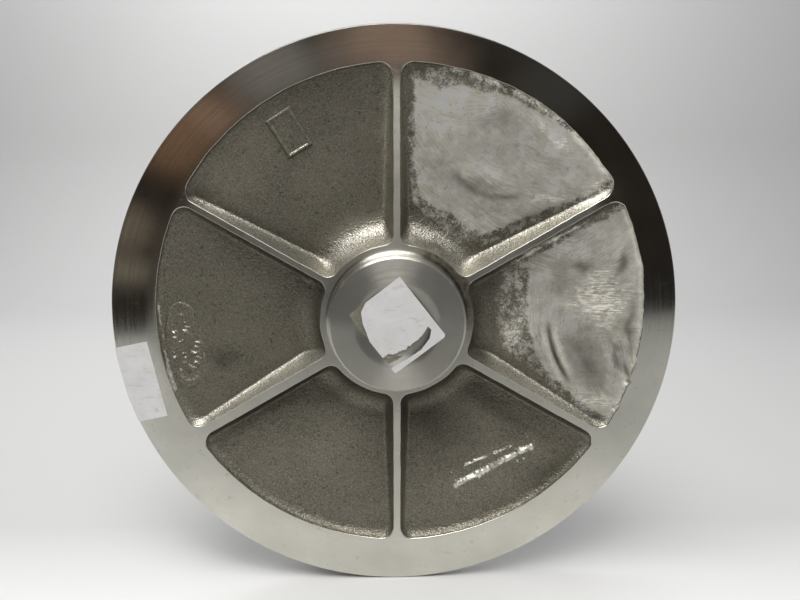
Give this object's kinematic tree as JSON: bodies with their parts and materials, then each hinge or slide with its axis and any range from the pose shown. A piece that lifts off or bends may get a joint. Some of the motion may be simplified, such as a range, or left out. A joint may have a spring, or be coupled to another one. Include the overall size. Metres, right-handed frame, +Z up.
{
  "type": "pump impeller",
  "caption": "Semi-open centrifugal pump impeller: ribbed rear face with a turned rim ring and hub boss, curved vanes in front, keyed shaft bore.",
  "frame": {"origin": "centre of the shaft bore at the hub boss's rear face", "axes": "+Y along the shaft axis towards the vanes and the suction side, +Z up along the top rear rib, +X to the right as seen from the ribbed rear"},
  "size_m": [0.406, 0.0851, 0.406],
  "materials": {
    "cast_stainless": "sand-cast skin in the pockets and between the vanes, turned bright on the rim ring, rib tops, hub boss and rim, hand-ground in two rear pockets",
    "hub_label_paper": "torn self-adhesive stock label, bare",
    "rim_label_paper": "self-adhesive stock label folded over the rim, bare"
  },
  "bodies": {
    "root": {"impeller_casting": "cast_stainless", "hub_label": "hub_label_paper", "rim_label": "rim_label_paper"}
  },
  "joints": []
}
